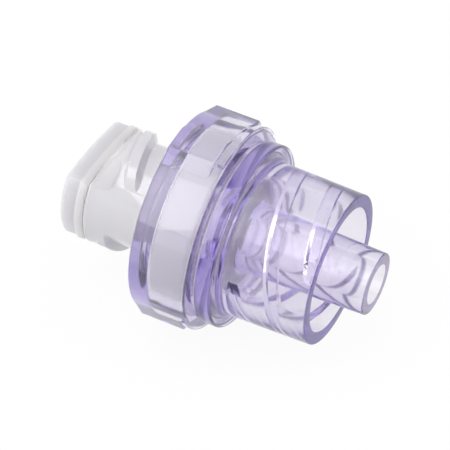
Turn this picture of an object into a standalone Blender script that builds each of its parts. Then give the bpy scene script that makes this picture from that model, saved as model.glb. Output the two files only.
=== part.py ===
"""Needle free connector: a clear two part body clamped round a slit silicone valve.

The connector lies on a grip rib with its axis along X, male luer towards +X. Stations are distances in metres from
the male tip's face towards the inlet. Angles run round the axis from +Y towards +Z.
"""

import math

import bmesh
import bpy
from mathutils import Vector

MM = 0.001

# Lengths along the axis, from the male tip to the inlet's end
TIP_PROJECTION = 2.5 * MM
COLLAR_LENGTH = 5.85 * MM
FLANGE_THICKNESS = 0.85 * MM
WAIST_LENGTH = 0.6 * MM
DRUM_LENGTH = 3.85 * MM
NECK_LENGTH = 4.53 * MM
LIP_THICKNESS = 0.58 * MM
CAP_THICKNESS = 1.04 * MM

# Male luer cone, with its six per cent taper, and its lock collar
TIP_RADIUS = 2.0 * MM
LUER_TAPER = 0.06
LUMEN_RADIUS = 1.3 * MM
COLLAR_RADIUS = 4.88 * MM
COLLAR_DRAFT = 0.12 * MM
COLLAR_BORE = 4.04 * MM
COLLAR_FLOOR = 0.1 * MM

# Flange, waist and the spigot that closes the drum
FLANGE_RADIUS = 5.97 * MM
WAIST_RADIUS = 5.85 * MM
SPIGOT_LENGTH = 0.4 * MM
SPIGOT_WALL = 0.85 * MM
BASE_FLOOR = 1.2 * MM
LUMEN_FLARE = 0.5 * MM

# Drum of the inlet housing
DRUM_RADIUS = 6.5 * MM
DRUM_WALL = 1.0 * MM
DRUM_END_WALL = 1.05 * MM

# Grip zones of the drum, two opposite: a ridge, a shoulder, the rib that it lies on, and lugs at its open end
GRIP_TURN = math.radians(38.8)
RIDGE_SPAN = (math.radians(-16), math.radians(3), math.radians(22))
RIDGE_HEIGHT = 0.37 * MM
REST_RIB = (math.radians(46.2), math.radians(61))
REST_RIB_HEIGHT = 0.25 * MM
SHOULDER_HEIGHT = 0.12 * MM
SHOULDER_LENGTH = 0.65 * MM
LUG_START = math.radians(-14)
LUG_LENGTH = 0.4 * MM
LUG_HEIGHT = 0.15 * MM
LUG_GROOVE = 0.2 * MM
RIB_INSET = 0.06 * MM
RIB_ROOT = 0.5 * MM
RIB_NOSE = 0.14 * MM
BAND_STEP = math.radians(6)

# Female luer inlet: the clear neck and the silicone head on its end
NECK_RADIUS = 3.35 * MM
NECK_BORE = 2.75 * MM
RIM_RADIUS = 3.92 * MM
RIM_THICKNESS = 0.12 * MM
RIM_TAPER_LENGTH = 1.35 * MM
LIP_RADIUS = 4.0 * MM
CAP_RADIUS = 3.85 * MM
HEAD_FLAT = 2.45 * MM
HEAD_FLAT_BOW = 20.0 * MM
HEAD_FLAT_STEPS = 7
HEAD_FLAT_ANGLE = math.radians(43)
FLAT_RUNOUT = 1.34 * MM
CAP_BEVEL = 0.16 * MM
START_POCKET_DEPTH = 0.2 * MM
START_POCKET_INSET = 0.14 * MM
START_POCKET_LENGTH = 1.2 * MM
START_POCKET_WIDTH = 2.2 * MM
START_POCKET_ANGLE = math.radians(82)

# Luer lock threads, double start and right hand
THREAD_LEAD = 5.0 * MM
THREAD_STARTS = 2
THREAD_BURY = 0.25 * MM
COLLAR_THREAD_HEIGHT = 0.54 * MM
COLLAR_THREAD_ROOT = 1.15 * MM
COLLAR_THREAD_CREST = 0.55 * MM
COLLAR_THREAD_INSET = 0.75 * MM
COLLAR_THREAD_START = math.radians(84)
COLLAR_THREAD_SWEEP = math.radians(315)
INLET_THREAD_HEIGHT = 0.55 * MM
INLET_THREAD_ROOT = 1.4 * MM
INLET_THREAD_CREST = 0.6 * MM
INLET_THREAD_INSET = 1.43 * MM
INLET_THREAD_START = math.radians(-34)
INLET_THREAD_SWEEP = math.radians(129)
THREAD_RUNOUT = math.radians(22)

# Silicone valve
PLUG_CLEARANCE = 0.06 * MM
VALVE_BORE = 1.1 * MM
VALVE_HEAD = 2.2 * MM
BELL_THICKNESS = 0.6 * MM
FOOT_WIDTH = 1.1 * MM
SLIT_LENGTH = 2.2 * MM
SLIT_WIDTH = 0.12 * MM

# Fits between the pieces
BOND_CLEARANCE = 0.06 * MM
SEAT_CLEARANCE = 0.06 * MM

# Edge rounding and facets
EDGE_ROUND = 0.14 * MM
SOFT_ROUND = 0.25 * MM
ROUND_STEPS = 64
FILLET_STEPS = 2
THREAD_STEP = math.radians(9)
WELD_DISTANCE = 0.0001 * MM

# Colours
CLEAR_VIOLET = (0.74, 0.70, 0.86, 0.35)
SILICONE_WHITE = (0.84, 0.84, 0.86, 1.0)

# Stations worked out from the lengths
COLLAR_FACE = TIP_PROJECTION
FLANGE_FACE = COLLAR_FACE + COLLAR_LENGTH
WAIST_FACE = FLANGE_FACE + FLANGE_THICKNESS
DRUM_FACE = WAIST_FACE + WAIST_LENGTH
DRUM_END = DRUM_FACE + DRUM_LENGTH
NECK_END = DRUM_END + NECK_LENGTH
LIP_BACK = NECK_END + SEAT_CLEARANCE
LIP_FACE = LIP_BACK + LIP_THICKNESS
OVERALL_LENGTH = LIP_FACE + CAP_THICKNESS
FLOOR_STATION = FLANGE_FACE + COLLAR_FLOOR
CHAMBER_FLOOR = FLOOR_STATION + BASE_FLOOR
SPIGOT_TOP = DRUM_FACE + SPIGOT_LENGTH
CHAMBER_ROOF = DRUM_END - DRUM_END_WALL

# Radii worked out from the walls
DRUM_BORE = DRUM_RADIUS - DRUM_WALL
SPIGOT_RADIUS = DRUM_BORE - BOND_CLEARANCE
SPIGOT_BORE = SPIGOT_RADIUS - SPIGOT_WALL
REST_HEIGHT = DRUM_RADIUS + REST_RIB_HEIGHT
RIB_FRONT = DRUM_FACE + RIB_INSET + LUG_LENGTH + LUG_GROOVE
RIB_END = DRUM_END - RIB_INSET


def cone_radius(station):
    """Outside of the male cone, which widens from the tip."""
    return TIP_RADIUS + 0.5 * LUER_TAPER * station


def place(station, radius, angle):
    """Point at a station, a radius and an angle round the connector's axis."""
    return Vector((
        0.5 * OVERALL_LENGTH - station,
        radius * math.cos(angle),
        REST_HEIGHT + radius * math.sin(angle),
    ))


def round_corners(corners, steps=FILLET_STEPS):
    """Closed outline of (a, b, radius) corners with each sharp corner turned into a short arc."""
    outline = []
    for index, (a, b, radius) in enumerate(corners):
        corner = Vector((a, b))
        if radius == 0:
            outline.append(corner)
            continue
        before = (Vector(corners[index - 1][:2]) - corner).normalized()
        after = (Vector(corners[(index + 1) % len(corners)][:2]) - corner).normalized()
        half = 0.5 * before.angle(after)
        centre = corner + (before + after).normalized() * (radius / math.sin(half))
        first = corner + before * (radius / math.tan(half)) - centre
        last = corner + after * (radius / math.tan(half)) - centre
        for step in range(steps + 1):
            share = step / steps
            direction = first.lerp(last, share).normalized()
            outline.append(centre + direction * radius)
    return outline


def finish_mesh(name, bm):
    """Object from a closed bmesh, its faces facing out and its round faces smooth."""
    bmesh.ops.recalc_face_normals(bm, faces=bm.faces)
    mesh = bpy.data.meshes.new(name)
    bm.to_mesh(mesh)
    bm.free()
    mesh.shade_smooth()
    mesh.set_sharp_from_angle(angle=math.radians(32))
    made = bpy.data.objects.new(name, mesh)
    bpy.context.scene.collection.objects.link(made)
    return made


def turned(name, corners):
    """Solid of revolution about the axis from (station, radius, fillet) corners."""
    bm = bmesh.new()
    ring = [bm.verts.new(place(station, radius, 0.0)) for station, radius in round_corners(corners)]
    off_axis = [radius > 0 for station, radius in round_corners(corners)]
    edges = [
        bm.edges.new((ring[index - 1], ring[index]))
        for index in range(len(ring))
        if off_axis[index - 1] or off_axis[index]
    ]
    bmesh.ops.spin(
        bm,
        geom=ring + edges,
        cent=place(0.0, 0.0, 0.0),
        axis=(1, 0, 0),
        angle=math.tau,
        steps=ROUND_STEPS,
        use_merge=True,
    )
    bmesh.ops.remove_doubles(bm, verts=bm.verts, dist=WELD_DISTANCE)
    return finish_mesh(name, bm)


def loft(name, rings):
    """Solid through closed rings of points, with a face across each end."""
    bm = bmesh.new()
    made = [[bm.verts.new(point) for point in ring] for ring in rings]
    for near, far in zip(made, made[1:]):
        for index in range(len(near)):
            bm.faces.new((near[index - 1], near[index], far[index], far[index - 1]))
    bm.faces.new(made[0])
    bm.faces.new(made[-1])
    return finish_mesh(name, bm)


def prism(name, roots, tops, near, far, nose=0.0):
    """Outline of (radius, angle) points drawn along the axis, its top points rounded off at both ends by the nose."""
    ends = [(0.0, 0.0)]
    if nose:
        turns = [0.5 * math.pi * step / FILLET_STEPS for step in range(FILLET_STEPS + 1)]
        ends = [(nose * (1 - math.cos(turn)), nose * (1 - math.sin(turn))) for turn in turns]
    sections = [(near + along, drop) for along, drop in ends]
    sections += [(far - along, drop) for along, drop in reversed(ends)]
    rings = []
    for station, drop in sections:
        outline = roots + [(radius - drop, angle) for radius, angle in tops]
        rings.append([place(station, radius, angle) for radius, angle in outline])
    return loft(name, rings)


def helical_ridge(name, root, height, widths, first_station, first_angle, sweep):
    """Thread ridge whose height fades to nothing at both ends. A negative height points inwards."""
    root_half, crest_half = 0.5 * widths[0], 0.5 * widths[1]
    outward = math.copysign(1.0, height)
    buried = root - outward * THREAD_BURY
    flank = root - outward * 0.5 * THREAD_BURY
    steps = max(2, round(sweep / THREAD_STEP))
    rings = []
    for step in range(steps + 1):
        turn = sweep * step / steps
        fade = min(1.0, turn / THREAD_RUNOUT, (sweep - turn) / THREAD_RUNOUT)
        crest = flank + (root + height - flank) * fade
        station = first_station - THREAD_LEAD * turn / math.tau
        section = [
            (station - root_half, buried),
            (station - root_half, flank),
            (station - crest_half, crest),
            (station + crest_half, crest),
            (station + root_half, flank),
            (station + root_half, buried),
        ]
        rings.append([place(where, radius, first_angle + turn) for where, radius in section])
    return loft(name, rings)


def boolean(target, tool, operation):
    """Joins a hidden helper to the target, or cuts it away."""
    tool.hide_render = True
    tool.display_type = "WIRE"
    modifier = target.modifiers.new(tool.name, "BOOLEAN")
    modifier.operation = operation
    modifier.solver = "EXACT"
    modifier.object = tool


def paint(target, name, colour, roughness):
    """Gives a piece its own plain material."""
    material = bpy.data.materials.new(name)
    material.use_nodes = True
    shader = material.node_tree.nodes["Principled BSDF"]
    shader.inputs["Base Color"].default_value = colour
    shader.inputs["Alpha"].default_value = colour[3]
    shader.inputs["Roughness"].default_value = roughness
    shader.inputs["Metallic"].default_value = 0.0
    shader.inputs["IOR"].default_value = 1.58
    target.data.materials.append(material)


def around(span, radius):
    """Points along a stretch of a circle about the axis."""
    start, end = span
    steps = max(1, round(abs(end - start) / BAND_STEP))
    return [(radius, start + (end - start) * step / steps) for step in range(steps + 1)]


def flat_points(span, height, down):
    """Ends of a flat at a height from the axis, which faces straight out at the angle down."""
    return [(height / math.cos(angle - down), angle) for angle in span]


def opposite_pair(target, name, roots, tops, near, far, nose=0.0):
    """Joins a prism to the target on both sides of the connector."""
    for side, turn in (("front", GRIP_TURN), ("back", GRIP_TURN + math.pi)):
        turned_roots = [(radius, angle + turn) for radius, angle in roots]
        turned_tops = [(radius, angle + turn) for radius, angle in tops]
        boolean(target, prism(f"{name}_{side}", turned_roots, turned_tops, near, far, nose), "UNION")


def add_grips(housing):
    """On each side a roof shaped ridge, a shoulder, the rib that the connector lies on, and the lug past a groove."""
    root = DRUM_RADIUS - RIB_ROOT
    down = 0.5 * math.pi - GRIP_TURN
    first, top, last = RIDGE_SPAN
    ridge = [(DRUM_RADIUS, last), (DRUM_RADIUS + RIDGE_HEIGHT, top), (DRUM_RADIUS, first)]
    opposite_pair(housing, "ridge", around((first, last), root), ridge, RIB_FRONT, RIB_END, RIB_NOSE)
    rest = flat_points(reversed(REST_RIB), REST_HEIGHT, down)
    opposite_pair(housing, "rest_rib", around(REST_RIB, root), rest, RIB_FRONT, RIB_END, RIB_NOSE)
    band = (top, 0.5 * (REST_RIB[0] + REST_RIB[1]))
    low = around(reversed(band), DRUM_RADIUS + SHOULDER_HEIGHT)
    near = RIB_FRONT + RIB_INSET
    opposite_pair(housing, "shoulder", around(band, root), low, near, near + SHOULDER_LENGTH)
    lug = rest + around((REST_RIB[0] - BAND_STEP, LUG_START), DRUM_RADIUS + LUG_HEIGHT)
    near = DRUM_FACE + RIB_INSET
    opposite_pair(housing, "lug", around((LUG_START, REST_RIB[1]), root), lug, near, near + LUG_LENGTH, RIB_INSET)


def add_thread(target, name, root, height, widths, first_station, first_angle, sweep):
    """All starts of a luer lock thread."""
    for start in range(THREAD_STARTS):
        angle = first_angle + math.tau * start / THREAD_STARTS
        ridge = helical_ridge(f"{name}_{start + 1}", root, height, widths, first_station, angle, sweep)
        boolean(target, ridge, "UNION")


def at_offset(station, out, across, angle):
    """Point at a distance out along a direction square to the axis, and a distance across it."""
    return place(station, math.hypot(across, out), angle + math.atan2(across, out))


def flat_cutter(name, angle):
    """Block that cuts one slightly bowed flat of the head and runs out past the rim in a slope."""
    past = 2 * LIP_RADIUS
    far = OVERALL_LENGTH + CAP_THICKNESS
    rings = []
    for step in range(-HEAD_FLAT_STEPS, HEAD_FLAT_STEPS + 1):
        across = past * step / HEAD_FLAT_STEPS
        flat = HEAD_FLAT - 0.5 * across * across / HEAD_FLAT_BOW
        profile = [
            (far, flat - CAP_BEVEL - CAP_THICKNESS),
            (OVERALL_LENGTH - CAP_BEVEL, flat),
            (NECK_END, flat),
            (NECK_END - FLAT_RUNOUT, LIP_RADIUS),
            (NECK_END - FLAT_RUNOUT, past),
            (far, past),
        ]
        rings.append([at_offset(station, out, across, angle) for station, out in profile])
    return loft(name, rings)


def cut_flats(target, name):
    """Two opposite flats that make the round head oblong."""
    for side, turn in (("front", 0.0), ("back", math.pi)):
        cutter = flat_cutter(f"{name}_{side}", HEAD_FLAT_ANGLE + GRIP_TURN + turn)
        boolean(target, cutter, "DIFFERENCE")


def start_pocket(name, angle):
    """Round cornered pocket beside the first turn of the thread, its floor rising to the rim."""
    half = 0.5 * START_POCKET_WIDTH
    corner = 0.6 * half
    far = NECK_END - START_POCKET_INSET
    near = far - START_POCKET_LENGTH
    low = NECK_RADIUS - START_POCKET_DEPTH
    rise = (LIP_RADIUS - low) / START_POCKET_LENGTH
    outline = round_corners([(near, -half, corner), (near, half, corner), (far, half, 0), (far, -half, 0)], 6)
    floor = [at_offset(station, low + rise * (station - near), across, angle) for station, across in outline]
    top = [at_offset(station, 2 * LIP_RADIUS, across, angle) for station, across in outline]
    return loft(name, [floor, top])


def build_inlet_housing():
    """Clear upper shell: drum, neck and inlet thread."""
    housing = turned("inlet_housing", [
        (DRUM_FACE, DRUM_BORE, 0),
        (CHAMBER_ROOF, DRUM_BORE, EDGE_ROUND),
        (CHAMBER_ROOF, NECK_BORE, EDGE_ROUND),
        (NECK_END, NECK_BORE, 0),
        (NECK_END, RIM_RADIUS, 0.5 * EDGE_ROUND),
        (NECK_END - RIM_THICKNESS, RIM_RADIUS, 0.5 * EDGE_ROUND),
        (NECK_END - RIM_THICKNESS - RIM_TAPER_LENGTH, NECK_RADIUS, 0),
        (DRUM_END, NECK_RADIUS, EDGE_ROUND),
        (DRUM_END, DRUM_RADIUS, EDGE_ROUND),
        (DRUM_FACE, DRUM_RADIUS, EDGE_ROUND),
    ])
    add_grips(housing)
    add_thread(
        housing,
        "inlet_thread",
        NECK_RADIUS,
        INLET_THREAD_HEIGHT,
        (INLET_THREAD_ROOT, INLET_THREAD_CREST),
        NECK_END - INLET_THREAD_INSET + INLET_THREAD_ROOT * 0.5,
        INLET_THREAD_START + GRIP_TURN,
        INLET_THREAD_SWEEP,
    )
    cut_flats(housing, "neck_flat")
    for side, turn in (("front", 0.0), ("back", math.pi)):
        pocket = start_pocket(f"start_pocket_{side}", START_POCKET_ANGLE + GRIP_TURN + turn)
        boolean(housing, pocket, "DIFFERENCE")
    paint(housing, "housing_clear", CLEAR_VIOLET, 0.05)
    return housing


def build_luer_base():
    """Clear lower shell: spigot, waist, flange, threaded collar and male cone."""
    collar_root = COLLAR_RADIUS + COLLAR_DRAFT
    base = turned("luer_base", [
        (0, LUMEN_RADIUS, 0),
        (CHAMBER_FLOOR, LUMEN_RADIUS, LUMEN_FLARE),
        (CHAMBER_FLOOR, SPIGOT_BORE, EDGE_ROUND),
        (SPIGOT_TOP, SPIGOT_BORE, 0),
        (SPIGOT_TOP, SPIGOT_RADIUS, EDGE_ROUND),
        (DRUM_FACE - BOND_CLEARANCE, SPIGOT_RADIUS, 0),
        (DRUM_FACE - BOND_CLEARANCE, WAIST_RADIUS, EDGE_ROUND),
        (WAIST_FACE, WAIST_RADIUS, 0),
        (WAIST_FACE, FLANGE_RADIUS, 0),
        (FLANGE_FACE, FLANGE_RADIUS, EDGE_ROUND),
        (FLANGE_FACE, collar_root, 2 * EDGE_ROUND),
        (COLLAR_FACE, COLLAR_RADIUS, 0.5 * EDGE_ROUND),
        (COLLAR_FACE, COLLAR_BORE, 0.5 * EDGE_ROUND),
        (FLOOR_STATION, COLLAR_BORE, 2 * EDGE_ROUND),
        (FLOOR_STATION, cone_radius(FLOOR_STATION), 2 * EDGE_ROUND),
        (0, cone_radius(0), 0.5 * EDGE_ROUND),
    ])
    add_thread(
        base,
        "collar_thread",
        COLLAR_BORE,
        -COLLAR_THREAD_HEIGHT,
        (COLLAR_THREAD_ROOT, COLLAR_THREAD_CREST),
        COLLAR_FACE + COLLAR_THREAD_INSET + THREAD_LEAD * COLLAR_THREAD_SWEEP / math.tau,
        COLLAR_THREAD_START + GRIP_TURN - COLLAR_THREAD_SWEEP,
        COLLAR_THREAD_SWEEP,
    )
    paint(base, "base_clear", CLEAR_VIOLET, 0.05)
    return base


def build_silicone_valve():
    """Slit valve: cap with a lip on the neck, plug, bell and clamped foot."""
    plug = NECK_BORE - PLUG_CLEARANCE
    roof = CHAMBER_ROOF - SEAT_CLEARANCE
    foot_bottom = SPIGOT_TOP + SEAT_CLEARANCE
    foot_radius = DRUM_BORE - BOND_CLEARANCE
    underside = roof - BELL_THICKNESS
    valve = turned("silicone_valve", [
        (OVERALL_LENGTH, 0, 0),
        (OVERALL_LENGTH - VALVE_HEAD, 0, 0),
        (OVERALL_LENGTH - VALVE_HEAD, VALVE_BORE, SOFT_ROUND),
        (underside, VALVE_BORE, SOFT_ROUND),
        (underside, foot_radius - FOOT_WIDTH, SOFT_ROUND),
        (foot_bottom, foot_radius - FOOT_WIDTH, 0),
        (foot_bottom, foot_radius, EDGE_ROUND),
        (roof, foot_radius, SOFT_ROUND),
        (roof, plug, SOFT_ROUND),
        (LIP_BACK, plug, 0),
        (LIP_BACK, LIP_RADIUS, EDGE_ROUND),
        (LIP_FACE, LIP_RADIUS, EDGE_ROUND),
        (LIP_FACE, CAP_RADIUS, 0),
        (OVERALL_LENGTH, CAP_RADIUS, SOFT_ROUND),
    ])
    cut_flats(valve, "head_flat")
    half, thin = 0.5 * SLIT_LENGTH, 0.5 * SLIT_WIDTH
    along_slit = HEAD_FLAT_ANGLE + GRIP_TURN + 0.5 * math.pi
    slit = [
        (math.hypot(half, thin), math.atan2(out * thin, across * half) + along_slit)
        for across, out in ((1, 1), (-1, 1), (-1, -1), (1, -1))
    ]
    cutter = prism("slit", slit, [], OVERALL_LENGTH - VALVE_HEAD - VALVE_BORE, OVERALL_LENGTH + CAP_THICKNESS)
    boolean(valve, cutter, "DIFFERENCE")
    paint(valve, "silicone", SILICONE_WHITE, 0.45)
    return valve


for leftover in list(bpy.data.objects):
    bpy.data.objects.remove(leftover)

build_inlet_housing()
build_silicone_valve()
build_luer_base()
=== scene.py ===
import math

import bmesh
import bpy
from mathutils import Matrix, Vector


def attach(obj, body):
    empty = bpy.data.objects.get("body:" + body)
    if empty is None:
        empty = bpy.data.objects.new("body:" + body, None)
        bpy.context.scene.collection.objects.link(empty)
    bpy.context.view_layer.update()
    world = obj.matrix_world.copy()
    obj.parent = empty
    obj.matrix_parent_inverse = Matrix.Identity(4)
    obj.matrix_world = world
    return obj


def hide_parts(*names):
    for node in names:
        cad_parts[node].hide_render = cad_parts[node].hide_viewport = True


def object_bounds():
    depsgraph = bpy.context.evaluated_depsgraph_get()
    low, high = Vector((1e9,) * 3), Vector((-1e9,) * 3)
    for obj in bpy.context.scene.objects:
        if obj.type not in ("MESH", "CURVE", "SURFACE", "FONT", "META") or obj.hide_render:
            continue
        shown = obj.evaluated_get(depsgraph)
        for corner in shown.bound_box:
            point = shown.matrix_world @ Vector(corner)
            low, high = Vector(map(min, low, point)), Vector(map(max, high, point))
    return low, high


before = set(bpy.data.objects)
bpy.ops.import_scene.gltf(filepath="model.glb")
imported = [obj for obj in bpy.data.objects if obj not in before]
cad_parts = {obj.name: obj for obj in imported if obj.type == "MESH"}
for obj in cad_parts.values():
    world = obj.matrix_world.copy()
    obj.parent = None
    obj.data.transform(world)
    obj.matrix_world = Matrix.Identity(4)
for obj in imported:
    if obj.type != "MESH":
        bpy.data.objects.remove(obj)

cad_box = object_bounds()

MM = 0.001

# Lengths along the axis, from the male tip to the inlet's end
TIP_PROJECTION = 2.5 * MM
COLLAR_LENGTH = 5.85 * MM
FLANGE_THICKNESS = 0.85 * MM
WAIST_LENGTH = 0.6 * MM
DRUM_LENGTH = 3.85 * MM
NECK_LENGTH = 4.53 * MM
LIP_THICKNESS = 0.58 * MM
CAP_THICKNESS = 1.04 * MM

# Male luer cone, with its six per cent taper, and its lock collar
TIP_RADIUS = 2.0 * MM
LUER_TAPER = 0.06
LUMEN_RADIUS = 1.3 * MM
COLLAR_RADIUS = 4.88 * MM
COLLAR_DRAFT = 0.12 * MM
COLLAR_BORE = 4.04 * MM
COLLAR_FLOOR = 0.1 * MM

# Flange, waist and the spigot that closes the drum
FLANGE_RADIUS = 5.97 * MM
WAIST_RADIUS = 5.85 * MM
SPIGOT_LENGTH = 0.4 * MM
SPIGOT_WALL = 0.85 * MM
BASE_FLOOR = 1.2 * MM
LUMEN_FLARE = 0.5 * MM

# Drum of the inlet housing
DRUM_RADIUS = 6.5 * MM
DRUM_WALL = 1.0 * MM
DRUM_END_WALL = 1.05 * MM

# Grip zones of the drum, two opposite: a ridge, a shoulder, the rib that the connector lies on,
# and a lug at the drum's open end
GRIP_TURN = math.radians(38.8)
RIDGE_SPAN = (math.radians(-16), math.radians(3), math.radians(22))
RIDGE_HEIGHT = 0.37 * MM
REST_RIB = (math.radians(46.2), math.radians(61))
REST_RIB_HEIGHT = 0.25 * MM
REST_FOOT = math.radians(9)
SHOULDER_HEIGHT = 0.12 * MM
SHOULDER_LENGTH = 0.65 * MM
LUG_START = math.radians(-14)
LUG_LENGTH = 0.4 * MM
LUG_HEIGHT = 0.15 * MM
LUG_GROOVE = 0.2 * MM
RIB_INSET = 0.06 * MM
RIB_ROOT = 0.5 * MM
RIB_NOSE = 0.14 * MM
BAND_STEP = math.radians(1.5)

# Female luer inlet: the clear neck and the silicone head on its end
NECK_RADIUS = 3.35 * MM
NECK_BORE = 2.75 * MM
RIM_RADIUS = 3.92 * MM
RIM_THICKNESS = 0.12 * MM
RIM_TAPER_LENGTH = 1.35 * MM
LIP_RADIUS = 4.0 * MM
CAP_RADIUS = 3.85 * MM
HEAD_FLAT = 2.45 * MM
HEAD_FLAT_BOW = 20.0 * MM
HEAD_FLAT_STEPS = 21
HEAD_FLAT_ANGLE = math.radians(43)
FLAT_RUNOUT = 1.34 * MM
CAP_BEVEL = 0.16 * MM
START_POCKET_DEPTH = 0.2 * MM
START_POCKET_INSET = 0.14 * MM
START_POCKET_LENGTH = 1.2 * MM
START_POCKET_WIDTH = 2.2 * MM
START_POCKET_ANGLE = math.radians(82)
START_POCKET_CORNER = 0.6

# Luer lock threads, double start and right hand
THREAD_LEAD = 5.0 * MM
THREAD_STARTS = 2
THREAD_BURY = 0.25 * MM
COLLAR_THREAD_HEIGHT = 0.54 * MM
COLLAR_THREAD_ROOT = 0.97 * MM
COLLAR_THREAD_CREST = 0.6 * MM
COLLAR_THREAD_INSET = 0.333 * MM
COLLAR_THREAD_START = math.radians(114)
COLLAR_THREAD_SWEEP = math.radians(345)
INLET_THREAD_HEIGHT = 0.55 * MM
INLET_THREAD_ROOT = 1.4 * MM
INLET_THREAD_CREST = 0.6 * MM
INLET_THREAD_INSET = 1.43 * MM
INLET_THREAD_START = math.radians(-34)
INLET_THREAD_SWEEP = math.radians(129)
THREAD_RUNOUT = math.radians(22)
COLLAR_THREAD_NARROWING = 0.6

# Silicone valve
PLUG_CLEARANCE = 0.06 * MM
PLUG_PRESS = 0.02 * MM
VALVE_BORE = 1.1 * MM
VALVE_HEAD = 2.2 * MM
BELL_THICKNESS = 0.6 * MM
FOOT_WIDTH = 1.1 * MM
SLIT_LENGTH = 2.2 * MM
SLIT_WIDTH = 0.12 * MM

# Fits between the pieces
BOND_CLEARANCE = 0.06 * MM
SEAT_CLEARANCE = 0.06 * MM

# Edge rounding and facets
EDGE_ROUND = 0.14 * MM
SOFT_ROUND = 0.25 * MM
ROUND_STEPS = 224
FILLET_STEPS = 6
THREAD_STEP = math.radians(1)
WELD_DISTANCE = 0.0001 * MM
SMOOTH_ANGLE = math.radians(30)

# Clear plastic: its violet by depth, the milky neck, and on the end faces of the tip and the collar a
# painted violet and haze: painted shade that deepens the collar's face, painted light that brightens
# the tip's face
VIOLET = (0.25, 0.08, 0.67, 1.0)
HOUSING_DENSITY = 112.0
BASE_DENSITY = 120.0
HOUSING_COAT = 0.7
CLEAR_IOR = 1.55
CLEAR_ROUGHNESS = (0.048, 0.112)
CLEAR_GRAIN = 250.0
NECK_CLARITY = 0.5
MILK_START = 0.2 * MM
MILK_FULL = 0.7 * MM
NO_TINT = (1.0, 0.995, 1.0, 1.0)
TIP_PAINTED_TINT = (0.9, 0.78, 1.0, 1.0)
COLLAR_PAINTED_SHADE = (0.12, 0.06, 0.48, 1.0)
COLLAR_PAINTED_SHADE_STOP = 0.98
PAINTED_END_MARGIN = 0.1 * MM
PAINTED_END_LIMIT = 0.999
END_FACING = 0.8
PAINTED_END_HAZE = 0.2

# Silicone, whose tones change with the distance from the inlet's end: painted light and shade, the one
# rubber grey on its head and white in the neck and the drum inside the clear housing, to match how lit
# each part looks
SILICONE_IOR = 1.41
SILICONE_DEPTH = 2.0 * MM
SILICONE_ROUGHNESS = (0.36, 0.5)
SILICONE_GRAIN = 900.0
MOTTLE = (0.97, 1.0)
MOTTLE_GRAIN = 350.0
CAP_GREY = (0.56, 0.553, 0.58, 1.0)
LIP_GREY = (0.65, 0.637, 0.65, 1.0)
NECK_WHITE = (0.97, 0.965, 0.97, 1.0)
DRUM_WHITE = (0.84, 0.835, 0.84, 1.0)
TONE_REACH = 10.0 * MM
SILICONE_PAINTED_TONES = (
    (0.99 * MM, CAP_GREY),
    (1.08 * MM, LIP_GREY),
    (1.56 * MM, LIP_GREY),
    (1.86 * MM, NECK_WHITE),
    (7.2 * MM, NECK_WHITE),
    (7.5 * MM, DRUM_WHITE),
)

# Noise behind the uneven looks
NOISE_DETAIL = 4.0
NOISE_SPAN = (0.3, 0.7)

# Floor and world
FLOOR_SIDE = 2.0
FLOOR_DROP = 0.02 * MM
FLOOR_COLOUR = (0.9, 0.9, 0.9, 1.0)
FLOOR_GLOW = 0.92
FLOOR_SHARE = 0.93
WORLD_COLOUR = (1.0, 1.0, 1.0, 1.0)
WORLD_LIGHT = 0.75

# Camera
VIEW_AZIMUTH = 26.7
VIEW_ELEVATION = 48.0
VIEW_ROLL = math.radians(0.4)
VIEW_DISTANCE = 0.175
AIM_STATION = 10.3 * MM
AIM_LIFT = 0.1 * MM
LENS = 226.6
CLIP_START = 0.001
LIGHT_BOUNCES = 24
GLOSSY_BOUNCES = 12

# Stations worked out from the lengths
COLLAR_FACE = TIP_PROJECTION
FLANGE_FACE = COLLAR_FACE + COLLAR_LENGTH
WAIST_FACE = FLANGE_FACE + FLANGE_THICKNESS
DRUM_FACE = WAIST_FACE + WAIST_LENGTH
DRUM_END = DRUM_FACE + DRUM_LENGTH
NECK_END = DRUM_END + NECK_LENGTH
LIP_BACK = NECK_END + SEAT_CLEARANCE
LIP_FACE = LIP_BACK + LIP_THICKNESS
OVERALL_LENGTH = LIP_FACE + CAP_THICKNESS
FLOOR_STATION = FLANGE_FACE + COLLAR_FLOOR
CHAMBER_FLOOR = FLOOR_STATION + BASE_FLOOR
SPIGOT_TOP = DRUM_FACE + SPIGOT_LENGTH
CHAMBER_ROOF = DRUM_END - DRUM_END_WALL

# Radii worked out from the walls
DRUM_BORE = DRUM_RADIUS - DRUM_WALL
SPIGOT_RADIUS = DRUM_BORE - BOND_CLEARANCE
SPIGOT_BORE = SPIGOT_RADIUS - SPIGOT_WALL
REST_HEIGHT = DRUM_RADIUS + REST_RIB_HEIGHT
RIB_FRONT = DRUM_FACE + RIB_INSET + LUG_LENGTH + LUG_GROOVE
RIB_END = DRUM_END - RIB_INSET


def cone_radius(station):
    """Outside of the male cone, which widens from the tip."""
    return TIP_RADIUS + 0.5 * LUER_TAPER * station


def place(station, radius, angle):
    """Point at a station, a radius and an angle round the connector's axis."""
    return Vector((
        0.5 * OVERALL_LENGTH - station,
        radius * math.cos(angle),
        REST_HEIGHT + radius * math.sin(angle),
    ))


def round_corners(corners):
    """Closed outline of (a, b, radius) corners with each sharp corner turned into a short arc."""
    outline = []
    for index, (a, b, radius) in enumerate(corners):
        corner = Vector((a, b))
        if radius == 0:
            outline.append(corner)
            continue
        before = (Vector(corners[index - 1][:2]) - corner).normalized()
        after = (Vector(corners[(index + 1) % len(corners)][:2]) - corner).normalized()
        half = 0.5 * before.angle(after)
        centre = corner + (before + after).normalized() * (radius / math.sin(half))
        first = corner + before * (radius / math.tan(half)) - centre
        last = corner + after * (radius / math.tan(half)) - centre
        for step in range(FILLET_STEPS + 1):
            arm = first.lerp(last, step / FILLET_STEPS).normalized()
            outline.append(centre + arm * radius)
    return outline


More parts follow.
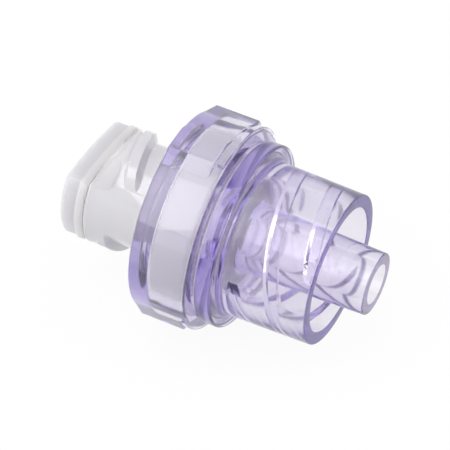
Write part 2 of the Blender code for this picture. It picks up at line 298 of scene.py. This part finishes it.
def finish_mesh(name, bm):
    """Object from a closed bmesh, its faces facing out."""
    bmesh.ops.recalc_face_normals(bm, faces=bm.faces)
    mesh = bpy.data.meshes.new(name)
    bm.to_mesh(mesh)
    bm.free()
    made = bpy.data.objects.new(name, mesh)
    bpy.context.scene.collection.objects.link(made)
    return made


def turned(name, corners):
    """Solid of revolution about the axis from (station, radius, fillet) corners."""
    bm = bmesh.new()
    outline = round_corners(corners)
    ring = [bm.verts.new(place(station, radius, 0.0)) for station, radius in outline]
    off_axis = [radius > 0 for station, radius in outline]
    edges = [
        bm.edges.new((ring[index - 1], ring[index]))
        for index in range(len(ring))
        if off_axis[index - 1] or off_axis[index]
    ]
    bmesh.ops.spin(
        bm,
        geom=ring + edges,
        cent=place(0.0, 0.0, 0.0),
        axis=(1, 0, 0),
        angle=math.tau,
        steps=ROUND_STEPS,
        use_merge=True,
    )
    bmesh.ops.remove_doubles(bm, verts=bm.verts, dist=WELD_DISTANCE)
    return finish_mesh(name, bm)


def loft(name, rings):
    """Solid through closed rings of points, with a face across each end."""
    bm = bmesh.new()
    made = [[bm.verts.new(point) for point in ring] for ring in rings]
    for near, far in zip(made, made[1:]):
        for index in range(len(near)):
            bm.faces.new((near[index - 1], near[index], far[index], far[index - 1]))
    bm.faces.new(made[0])
    bm.faces.new(made[-1])
    return finish_mesh(name, bm)


def prism(name, roots, tops, near, far, nose=0.0, fall=0.0):
    """Outline drawn along the axis, its tops rounded at both ends and lower at the far end."""
    ends = [(0.0, 0.0)]
    if nose:
        turns = [0.5 * math.pi * step / FILLET_STEPS for step in range(FILLET_STEPS + 1)]
        ends = [(nose * (1 - math.cos(turn)), nose * (1 - math.sin(turn))) for turn in turns]
    sections = [(near + along, drop) for along, drop in ends]
    sections += [(far - along, drop + fall) for along, drop in reversed(ends)]
    rings = []
    for station, drop in sections:
        outline = roots + [(radius - drop, angle) for radius, angle in tops]
        rings.append([place(station, radius, angle) for radius, angle in outline])
    return loft(name, rings)


def helical_ridge(name, root, height, widths, first_station, first_angle, sweep):
    """Thread ridge whose height fades to nothing at both ends.

    One with a negative height points inwards, and its near flank also draws in towards its last end.
    """
    root_half, crest_half = 0.5 * widths[0], 0.5 * widths[1]
    outward = math.copysign(1.0, height)
    buried = root - outward * THREAD_BURY
    flank = root - outward * 0.5 * THREAD_BURY
    steps = max(2, round(sweep / THREAD_STEP))
    rings = []
    for step in range(steps + 1):
        turn = sweep * step / steps
        left = min(1.0, (sweep - turn) / THREAD_RUNOUT)
        fade = min(left, turn / THREAD_RUNOUT)
        crest = flank + (root + height - flank) * fade
        station = first_station - THREAD_LEAD * turn / math.tau
        narrow = 1.0 if height > 0 else 1.0 - COLLAR_THREAD_NARROWING * (1.0 - left)
        section = [
            (station - root_half * narrow, buried),
            (station - root_half * narrow, flank),
            (station - crest_half * narrow, crest),
            (station + crest_half * narrow, crest),
            (station + root_half, flank),
            (station + root_half, buried),
        ]
        rings.append([place(where, radius, first_angle + turn) for where, radius in section])
    return loft(name, rings)


def boolean(target, tool, operation):
    """Joins a helper to the target, or cuts it away."""
    modifier = target.modifiers.new(tool.name, "BOOLEAN")
    modifier.operation = operation
    modifier.solver = "MANIFOLD"
    modifier.object = tool


def around(span, radius):
    """Points along a stretch of a circle about the axis."""
    start, end = span
    steps = max(1, round(abs(end - start) / BAND_STEP))
    return [(radius, start + (end - start) * step / steps) for step in range(steps + 1)]


def flat_points(span, height, down):
    """Ends of a flat at a height from the axis, which faces straight out at the angle down."""
    return [(height / math.cos(angle - down), angle) for angle in span]


def opposite_pair(target, name, roots, tops, near, far, nose=0.0, fall=0.0):
    """Joins a prism to the target on both sides of the connector."""
    for side, turn in (("front", GRIP_TURN), ("back", GRIP_TURN + math.pi)):
        turned_roots = [(radius, angle + turn) for radius, angle in roots]
        turned_tops = [(radius, angle + turn) for radius, angle in tops]
        made = prism(f"{name}_{side}", turned_roots, turned_tops, near, far, nose, fall)
        boolean(target, made, "UNION")


def add_grips(housing):
    """On each side a roof shaped ridge, a shoulder, the rib to lie on, and the lug past a groove."""
    root = DRUM_RADIUS - RIB_ROOT
    down = 0.5 * math.pi - GRIP_TURN
    first, top, last = RIDGE_SPAN
    ridge = [(DRUM_RADIUS, last), (DRUM_RADIUS + RIDGE_HEIGHT, top), (DRUM_RADIUS, first)]
    opposite_pair(housing, "ridge", around((first, last), root), ridge, RIB_FRONT, RIB_END, RIB_NOSE)
    low, high = REST_RIB
    rest = flat_points((high, low), REST_HEIGHT, down)
    sloped = [(DRUM_RADIUS, high + REST_FOOT), *rest, (DRUM_RADIUS, low - REST_FOOT)]
    opposite_pair(housing, "rest_rib", around(REST_RIB, root), sloped, RIB_FRONT, RIB_END, RIB_NOSE)
    band = (top, 0.5 * (low + high))
    shoulder = around(reversed(band), DRUM_RADIUS + SHOULDER_HEIGHT)
    near = RIB_FRONT + RIB_INSET
    far = near + SHOULDER_LENGTH
    opposite_pair(housing, "shoulder", around(band, root), shoulder, near, far, fall=SHOULDER_HEIGHT)
    lug = rest + around((low - BAND_STEP, LUG_START), DRUM_RADIUS + LUG_HEIGHT)
    near = DRUM_FACE + RIB_INSET
    far = near + LUG_LENGTH
    opposite_pair(housing, "lug", around((LUG_START, high), root), lug, near, far, RIB_INSET)


def add_thread(target, name, root, height, widths, first_station, first_angle, sweep):
    """All starts of a luer lock thread."""
    for start in range(THREAD_STARTS):
        angle = first_angle + math.tau * start / THREAD_STARTS
        ridge = helical_ridge(f"{name}_{start + 1}", root, height, widths, first_station, angle, sweep)
        boolean(target, ridge, "UNION")


def at_offset(station, out, across, angle):
    """Point at a distance out along a direction square to the axis, and a distance across it."""
    return place(station, math.hypot(across, out), angle + math.atan2(across, out))


def flat_cutter(name, angle):
    """Block that cuts one slightly bowed flat of the head and runs out past the rim in a slope."""
    past = 2 * LIP_RADIUS
    far = OVERALL_LENGTH + CAP_THICKNESS
    rings = []
    for step in range(-HEAD_FLAT_STEPS, HEAD_FLAT_STEPS + 1):
        across = past * step / HEAD_FLAT_STEPS
        flat = HEAD_FLAT - 0.5 * across * across / HEAD_FLAT_BOW
        profile = [
            (far, flat - CAP_BEVEL - CAP_THICKNESS),
            (OVERALL_LENGTH - CAP_BEVEL, flat),
            (NECK_END, flat),
            (NECK_END - FLAT_RUNOUT, LIP_RADIUS),
            (NECK_END - FLAT_RUNOUT, past),
            (far, past),
        ]
        rings.append([at_offset(station, out, across, angle) for station, out in profile])
    return loft(name, rings)


def cut_flats(target, name):
    """Two opposite flats that make the round head oblong."""
    for side, turn in (("front", 0.0), ("back", math.pi)):
        cutter = flat_cutter(f"{name}_{side}", HEAD_FLAT_ANGLE + GRIP_TURN + turn)
        boolean(target, cutter, "DIFFERENCE")


def start_pocket(name, angle):
    """Round cornered pocket beside the first turn of the thread, its floor rising to the rim."""
    half = 0.5 * START_POCKET_WIDTH
    corner = START_POCKET_CORNER * half
    far = NECK_END - START_POCKET_INSET
    near = far - START_POCKET_LENGTH
    low = NECK_RADIUS - START_POCKET_DEPTH
    rise = (LIP_RADIUS - low) / START_POCKET_LENGTH
    rounded = [(near, -half, corner), (near, half, corner)]
    outline = round_corners([*rounded, (far, half, 0), (far, -half, 0)])
    bottom = [
        at_offset(station, low + rise * (station - near), across, angle) for station, across in outline
    ]
    top = [at_offset(station, 2 * LIP_RADIUS, across, angle) for station, across in outline]
    return loft(name, [bottom, top])


def build_inlet_housing():
    """Clear upper shell: drum, neck and inlet thread."""
    housing = turned("inlet_housing", [
        (DRUM_FACE, DRUM_BORE, 0),
        (CHAMBER_ROOF, DRUM_BORE, EDGE_ROUND),
        (CHAMBER_ROOF, NECK_BORE, EDGE_ROUND),
        (NECK_END, NECK_BORE, 0),
        (NECK_END, RIM_RADIUS, 0.5 * EDGE_ROUND),
        (NECK_END - RIM_THICKNESS, RIM_RADIUS, 0.5 * EDGE_ROUND),
        (NECK_END - RIM_THICKNESS - RIM_TAPER_LENGTH, NECK_RADIUS, 0),
        (DRUM_END, NECK_RADIUS, EDGE_ROUND),
        (DRUM_END, DRUM_RADIUS, EDGE_ROUND),
        (DRUM_FACE, DRUM_RADIUS, EDGE_ROUND),
    ])
    add_grips(housing)
    add_thread(
        housing,
        "inlet_thread",
        NECK_RADIUS,
        INLET_THREAD_HEIGHT,
        (INLET_THREAD_ROOT, INLET_THREAD_CREST),
        NECK_END - INLET_THREAD_INSET + 0.5 * INLET_THREAD_ROOT,
        INLET_THREAD_START + GRIP_TURN,
        INLET_THREAD_SWEEP,
    )
    cut_flats(housing, "neck_flat")
    for side, turn in (("front", 0.0), ("back", math.pi)):
        pocket = start_pocket(f"start_pocket_{side}", START_POCKET_ANGLE + GRIP_TURN + turn)
        boolean(housing, pocket, "DIFFERENCE")
    return housing


def build_luer_base():
    """Clear lower shell: spigot, waist, flange, threaded collar and male cone."""
    collar_root = COLLAR_RADIUS + COLLAR_DRAFT
    base = turned("luer_base", [
        (0, LUMEN_RADIUS, 0),
        (CHAMBER_FLOOR, LUMEN_RADIUS, LUMEN_FLARE),
        (CHAMBER_FLOOR, SPIGOT_BORE, EDGE_ROUND),
        (SPIGOT_TOP, SPIGOT_BORE, 0),
        (SPIGOT_TOP, SPIGOT_RADIUS, EDGE_ROUND),
        (DRUM_FACE - BOND_CLEARANCE, SPIGOT_RADIUS, 0),
        (DRUM_FACE - BOND_CLEARANCE, WAIST_RADIUS, EDGE_ROUND),
        (WAIST_FACE, WAIST_RADIUS, 0),
        (WAIST_FACE, FLANGE_RADIUS, 0),
        (FLANGE_FACE, FLANGE_RADIUS, EDGE_ROUND),
        (FLANGE_FACE, collar_root, 2 * EDGE_ROUND),
        (COLLAR_FACE, COLLAR_RADIUS, 0.5 * EDGE_ROUND),
        (COLLAR_FACE, COLLAR_BORE, 0.5 * EDGE_ROUND),
        (FLOOR_STATION, COLLAR_BORE, 2 * EDGE_ROUND),
        (FLOOR_STATION, cone_radius(FLOOR_STATION), 2 * EDGE_ROUND),
        (0, cone_radius(0), 0.5 * EDGE_ROUND),
    ])
    add_thread(
        base,
        "collar_thread",
        COLLAR_BORE,
        -COLLAR_THREAD_HEIGHT,
        (COLLAR_THREAD_ROOT, COLLAR_THREAD_CREST),
        COLLAR_FACE + COLLAR_THREAD_INSET + THREAD_LEAD * COLLAR_THREAD_SWEEP / math.tau,
        COLLAR_THREAD_START + GRIP_TURN - COLLAR_THREAD_SWEEP,
        COLLAR_THREAD_SWEEP,
    )
    return base


def build_silicone_valve():
    """Slit valve: cap with a lip on the neck, plug, bell and clamped foot."""
    plug = NECK_BORE - PLUG_CLEARANCE
    roof = CHAMBER_ROOF - SEAT_CLEARANCE
    foot_bottom = SPIGOT_TOP + SEAT_CLEARANCE
    foot_radius = DRUM_BORE - BOND_CLEARANCE
    underside = roof - BELL_THICKNESS
    valve = turned("silicone_valve", [
        (OVERALL_LENGTH, 0, 0),
        (OVERALL_LENGTH - VALVE_HEAD, 0, 0),
        (OVERALL_LENGTH - VALVE_HEAD, VALVE_BORE, SOFT_ROUND),
        (underside, VALVE_BORE, SOFT_ROUND),
        (underside, foot_radius - FOOT_WIDTH, SOFT_ROUND),
        (foot_bottom, foot_radius - FOOT_WIDTH, 0),
        (foot_bottom, foot_radius, EDGE_ROUND),
        (roof, foot_radius, SOFT_ROUND),
        (roof, plug, SOFT_ROUND),
        (DRUM_END, plug, 0),
        (DRUM_END + PLUG_CLEARANCE, NECK_BORE + PLUG_PRESS, 0),
        (LIP_BACK, NECK_BORE + PLUG_PRESS, 0),
        (LIP_BACK, LIP_RADIUS, EDGE_ROUND),
        (LIP_FACE, LIP_RADIUS, EDGE_ROUND),
        (LIP_FACE, CAP_RADIUS, 0),
        (OVERALL_LENGTH, CAP_RADIUS, SOFT_ROUND),
    ])
    cut_flats(valve, "head_flat")
    half, thin = 0.5 * SLIT_LENGTH, 0.5 * SLIT_WIDTH
    along_slit = HEAD_FLAT_ANGLE + GRIP_TURN + 0.5 * math.pi
    slit = [
        (math.hypot(half, thin), math.atan2(out * thin, across * half) + along_slit)
        for across, out in ((1, 1), (-1, 1), (-1, -1), (1, -1))
    ]
    near = OVERALL_LENGTH - VALVE_HEAD - VALVE_BORE
    boolean(valve, prism("slit", slit, [], near, OVERALL_LENGTH + CAP_THICKNESS), "DIFFERENCE")
    return valve


def settle(made):
    """Applies a piece's modifiers, removes their helpers and smooths its round faces."""
    helpers = [modifier.object for modifier in made.modifiers if modifier.type == "BOOLEAN"]
    bpy.context.view_layer.update()
    evaluated = made.evaluated_get(bpy.context.evaluated_depsgraph_get())
    mesh = bpy.data.meshes.new_from_object(evaluated)
    made.modifiers.clear()
    made.data = mesh
    for helper in helpers:
        bpy.data.objects.remove(helper)
    mesh.shade_smooth()
    mesh.set_sharp_from_angle(angle=SMOOTH_ANGLE)
    return made


def feed(tree, socket, value):
    """Links another node's output to a socket, or sets the socket to a number or a colour."""
    if isinstance(value, bpy.types.NodeSocket):
        tree.links.new(value, socket)
    else:
        socket.default_value = value


def maths(tree, operation, *values):
    """One sum on outputs and numbers."""
    node = tree.nodes.new("ShaderNodeMath")
    node.operation = operation
    for socket, value in zip(node.inputs, values):
        feed(tree, socket, value)
    return node.outputs[0]


def carried(tree, value, start, end, low=0.0, high=1.0):
    """Value carried from one range into another, and held past its ends."""
    node = tree.nodes.new("ShaderNodeMapRange")
    slots = ("Value", "From Min", "From Max", "To Min", "To Max")
    for slot, given in zip(slots, (value, start, end, low, high)):
        feed(tree, node.inputs[slot], given)
    return node.outputs["Result"]


def mixed(tree, blend, share, first, second):
    """Two colours mixed."""
    node = tree.nodes.new("ShaderNodeMix")
    node.data_type = "RGBA"
    node.blend_type = blend
    for slot, given in ((0, share), (6, first), (7, second)):
        feed(tree, node.inputs[slot], given)
    return node.outputs[2]


def ramp(tree, value, stops):
    """Colour that follows a value through (position, colour) stops."""
    node = tree.nodes.new("ShaderNodeValToRGB")
    elements = node.color_ramp.elements
    for element, (position, colour) in zip(elements, (stops[0], stops[-1])):
        element.position, element.color = position, colour
    for position, colour in stops[1:-1]:
        elements.new(position).color = colour
    feed(tree, node.inputs["Fac"], value)
    return node.outputs["Color"]


def along_axis(tree, output):
    """Part along the connector's axis of a place or a normal on the piece."""
    where = tree.nodes.new("ShaderNodeTexCoord")
    split = tree.nodes.new("ShaderNodeSeparateXYZ")
    feed(tree, split.inputs[0], where.outputs[output])
    return split.outputs["X"]


def mottled(tree, scale, limits):
    """Value that wanders between two limits over the piece."""
    where = tree.nodes.new("ShaderNodeTexCoord")
    noise = tree.nodes.new("ShaderNodeTexNoise")
    noise.inputs["Scale"].default_value = scale
    noise.inputs["Detail"].default_value = NOISE_DETAIL
    feed(tree, noise.inputs["Vector"], where.outputs["Object"])
    return carried(tree, noise.outputs["Fac"], *NOISE_SPAN, *limits)


def seen_rays(tree):
    """One on rays from the camera, off gloss and through clear plastic, and nought on all others."""
    path = tree.nodes.new("ShaderNodeLightPath")
    first = maths(tree, "MAXIMUM", path.outputs["Is Camera Ray"], path.outputs["Is Glossy Ray"])
    return maths(tree, "MAXIMUM", first, path.outputs["Is Transmission Ray"])


def new_material(name):
    """Material with nodes, and its node tree."""
    made = bpy.data.materials.new(name)
    made.use_nodes = True
    return made, made.node_tree


def clear_plastic(name, density, coat):
    """Clear moulded plastic that darkens with the depth of plastic that light crosses, with painted
    shade on the collar's end face and painted light on the tip's end face.
    """
    made, tree = new_material(name)
    shader = tree.nodes["Principled BSDF"]
    shader.inputs["IOR"].default_value = CLEAR_IOR
    shader.inputs["Specular IOR Level"].default_value = 1.0
    shader.inputs["Coat Weight"].default_value = coat
    station = along_axis(tree, "Object")
    tip = 0.5 * OVERALL_LENGTH
    neck = tip - DRUM_END
    clarity = carried(tree, station, neck - MILK_FULL, neck - MILK_START, NECK_CLARITY)
    depth = carried(tree, station, tip, tip - TIP_PROJECTION - PAINTED_END_MARGIN)
    # Painted shade and light: faces looking out along the axis near the tip take a dark violet on the
    # collar's face and a pale, hazed violet that brightens the tip's face
    faces_out = maths(tree, "GREATER_THAN", along_axis(tree, "Normal"), END_FACING)
    painted_end_face = maths(tree, "MULTIPLY", faces_out, maths(tree, "LESS_THAN", depth, PAINTED_END_LIMIT))
    painted_haze_clarity = maths(tree, "MULTIPLY_ADD", painted_end_face, -PAINTED_END_HAZE, clarity)
    feed(tree, shader.inputs["Transmission Weight"], painted_haze_clarity)
    painted_end_colour = ramp(tree, depth, ((0.0, TIP_PAINTED_TINT), (COLLAR_PAINTED_SHADE_STOP, COLLAR_PAINTED_SHADE)))
    feed(tree, shader.inputs["Base Color"], mixed(tree, "MIX", painted_end_face, NO_TINT, painted_end_colour))
    feed(tree, shader.inputs["Roughness"], mottled(tree, CLEAR_GRAIN, CLEAR_ROUGHNESS))
    volume = tree.nodes.new("ShaderNodeVolumeAbsorption")
    volume.inputs["Color"].default_value = VIOLET
    volume.inputs["Density"].default_value = density
    feed(tree, tree.nodes["Material Output"].inputs["Volume"], volume.outputs[0])
    return made


def silicone_rubber(name):
    """Milky rubber, greyer on its head than in the neck and the drum: tones of painted light and
    shade, not the rubber's own colour.
    """
    made, tree = new_material(name)
    shader = tree.nodes["Principled BSDF"]
    shader.inputs["IOR"].default_value = SILICONE_IOR
    shader.inputs["Subsurface Weight"].default_value = 1.0
    shader.inputs["Subsurface Radius"].default_value = (1.0, 1.0, 1.0)
    shader.inputs["Subsurface Scale"].default_value = SILICONE_DEPTH
    inlet = -0.5 * OVERALL_LENGTH
    share = carried(tree, along_axis(tree, "Object"), inlet, inlet + TONE_REACH)
    # Painted light and shade: the one rubber gets lit and shaded tones by place along the axis
    shade = ramp(tree, share, [(distance / TONE_REACH, colour) for distance, colour in SILICONE_PAINTED_TONES])
    mottle = mottled(tree, MOTTLE_GRAIN, MOTTLE)
    feed(tree, shader.inputs["Base Color"], mixed(tree, "MULTIPLY", 1.0, shade, mottle))
    feed(tree, shader.inputs["Roughness"], mottled(tree, SILICONE_GRAIN, SILICONE_ROUGHNESS))
    return made


def floor_white(name):
    """Pale matt floor with a shadow, near white to the camera, in gloss and through plastic."""
    made, tree = new_material(name)
    tree.nodes.remove(tree.nodes["Principled BSDF"])
    matt = tree.nodes.new("ShaderNodeBsdfDiffuse")
    matt.inputs["Color"].default_value = FLOOR_COLOUR
    path = tree.nodes.new("ShaderNodeLightPath")
    glow = tree.nodes.new("ShaderNodeEmission")
    strength = carried(tree, path.outputs["Is Camera Ray"], 0.0, 1.0, FLOOR_GLOW)
    feed(tree, glow.inputs["Strength"], strength)
    mix = tree.nodes.new("ShaderNodeMixShader")
    glowing = maths(tree, "MULTIPLY", seen_rays(tree), FLOOR_SHARE)
    for slot, given in enumerate((glowing, matt.outputs[0], glow.outputs[0])):
        feed(tree, mix.inputs[slot], given)
    feed(tree, tree.nodes["Material Output"].inputs["Surface"], mix.outputs[0])
    return made


def direction(azimuth, elevation):
    """Unit vector away from the object, at degrees round it from the front and up from the floor."""
    turn, rise = math.radians(azimuth), math.radians(elevation)
    return Vector((math.sin(turn) * math.cos(rise), -math.cos(turn) * math.cos(rise), math.sin(rise)))


def softbox(name, azimuth, elevation, distance, size, power):
    """Rectangular lamp that looks at the object."""
    lamp = bpy.data.lights.new(name, "AREA")
    lamp.shape = "RECTANGLE"
    lamp.size, lamp.size_y = size
    lamp.energy = power
    made = bpy.data.objects.new(name, lamp)
    out = direction(azimuth, elevation)
    turn = out.to_track_quat("Z", "Y").to_matrix().to_4x4()
    made.matrix_world = Matrix.Translation(out * distance) @ turn
    bpy.context.scene.collection.objects.link(made)
    return made


housing_plastic = clear_plastic("clear_housing", HOUSING_DENSITY, HOUSING_COAT)
base_plastic = clear_plastic("clear_base", BASE_DENSITY, 0.0)
rubber = silicone_rubber("silicone_white")
pieces = [
    (build_inlet_housing, "inlet_housing", "housing_clear", housing_plastic),
    (build_luer_base, "luer_base", "base_clear", base_plastic),
    (build_silicone_valve, "silicone_valve", "silicone", rubber),
]
for build, node, slot, material in pieces:
    piece = settle(build())
    piece.name = piece.data.name = f"{node}_moulding"
    piece.data.materials.clear()
    piece.data.materials.append(material)
    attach(piece, "root")
    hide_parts(node)

scene = bpy.context.scene

# Floor
mesh = bpy.data.meshes.new("floor")
signs = ((-1, -1), (1, -1), (1, 1), (-1, 1))
corners = [(x * FLOOR_SIDE, y * FLOOR_SIDE, -FLOOR_DROP) for x, y in signs]
mesh.from_pydata(corners, [], [(0, 1, 2, 3)])
mesh.materials.append(floor_white("floor_white"))
floor = bpy.data.objects.new("floor", mesh)
scene.collection.objects.link(floor)

# World, which lights the object less than it shows
world = bpy.data.worlds.new("studio")
scene.world = world
world.use_nodes = True
background = world.node_tree.nodes["Background"]
background.inputs["Color"].default_value = WORLD_COLOUR
strength = carried(world.node_tree, seen_rays(world.node_tree), 0.0, 1.0, WORLD_LIGHT)
feed(world.node_tree, background.inputs["Strength"], strength)

# Lamps: azimuth, elevation, distance, size and power
softbox("key", -37.0, 60.0, 0.3, (0.2, 0.46), 0.5)
softbox("side", 110.0, 40.0, 0.25, (0.1, 0.2), 0.12)
fill = softbox("fill", 0.0, 12.0, 0.3, (0.3, 0.1), 0.08)
fill.visible_glossy = False

# Camera
back = direction(VIEW_AZIMUTH, VIEW_ELEVATION)
right = direction(VIEW_AZIMUTH + 90.0, 0.0)
up = back.cross(right)
roll = Matrix.Rotation(VIEW_ROLL, 3, back)
right, up = roll @ right, roll @ up
aim = Vector((cad_box[1][0] - AIM_STATION, 0.0, 0.5 * (cad_box[0][2] + cad_box[1][2]))) + up * AIM_LIFT
placed = Matrix((right, up, back)).transposed().to_4x4()
placed.translation = aim + back * VIEW_DISTANCE
camera = bpy.data.objects.new("camera", bpy.data.cameras.new("camera"))
camera.data.lens = LENS
camera.data.clip_start = CLIP_START
camera.matrix_world = placed
scene.collection.objects.link(camera)
scene.camera = camera

scene.view_settings.view_transform = "Standard"
scene.cycles.max_bounces = LIGHT_BOUNCES
scene.cycles.transmission_bounces = LIGHT_BOUNCES
scene.cycles.glossy_bounces = GLOSSY_BOUNCES
scene.cycles.transparent_max_bounces = LIGHT_BOUNCES
